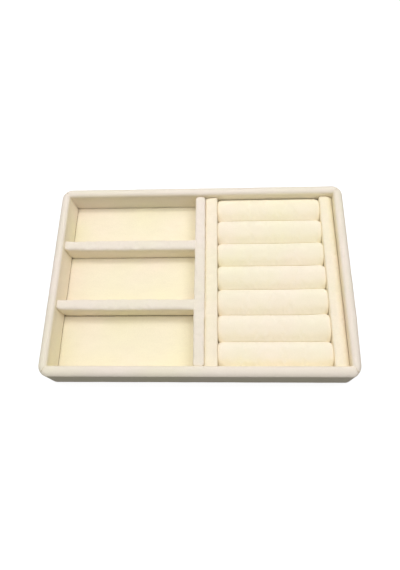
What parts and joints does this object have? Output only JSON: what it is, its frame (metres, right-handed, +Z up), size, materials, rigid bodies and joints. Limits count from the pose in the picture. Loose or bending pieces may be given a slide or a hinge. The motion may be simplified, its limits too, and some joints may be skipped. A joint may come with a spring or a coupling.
{
  "type": "jewelry tray",
  "caption": "Low rectangular velvet-covered tray with a padded rounded rim, open divided compartments on one side and a lift-out insert of soft ring rolls on the other.",
  "frame": {"origin": "middle of the footprint, at the lowest face of the underside sheet", "axes": "+X along the tray's long side towards the ring insert, +Y from the front wall to the back wall, +Z up"},
  "size_m": [0.24, 0.1628, 0.027],
  "materials": {
    "velvet_frame": "pale cool cream velvet",
    "velvet_lining": "warm cream velvet",
    "board": "raw fibreboard",
    "card": "raw grey card",
    "foam": "soft open foam"
  },
  "bodies": {
    "tray": {"back_divider_board": "board", "back_divider_cover": "velvet_frame", "back_floor_card": "card", "back_floor_lining": "velvet_lining", "back_wall_board": "board", "back_wall_sleeve": "velvet_frame", "base_board": "board", "front_divider_board": "board", "front_divider_cover": "velvet_frame", "front_floor_card": "card", "front_floor_lining": "velvet_lining", "front_wall_board": "board", "front_wall_sleeve": "velvet_frame", "left_wall_board": "board", "left_wall_sleeve": "velvet_frame", "long_divider_board": "board", "long_divider_cover": "velvet_frame", "middle_floor_card": "card", "middle_floor_lining": "velvet_lining", "right_wall_board": "board", "right_wall_sleeve": "velvet_frame", "underside_sheet": "velvet_frame"},
    "ring_insert": {"insert_board": "card", "left_rail_cover": "velvet_lining", "left_rail_foam": "foam", "right_rail_cover": "velvet_lining", "right_rail_foam": "foam", "ring_roll_1_cover": "velvet_lining", "ring_roll_1_foam": "foam", "ring_roll_2_cover": "velvet_lining", "ring_roll_2_foam": "foam", "ring_roll_3_cover": "velvet_lining", "ring_roll_3_foam": "foam", "ring_roll_4_cover": "velvet_lining", "ring_roll_4_foam": "foam", "ring_roll_5_cover": "velvet_lining", "ring_roll_5_foam": "foam", "ring_roll_6_cover": "velvet_lining", "ring_roll_6_foam": "foam", "ring_roll_7_cover": "velvet_lining", "ring_roll_7_foam": "foam"}
  },
  "joints": [
    {"name": "insert_lift", "type": "slide", "parent": "tray", "child": "ring_insert", "axis": [0, 0, 1], "range_m": [0, 0.03]}
  ]
}
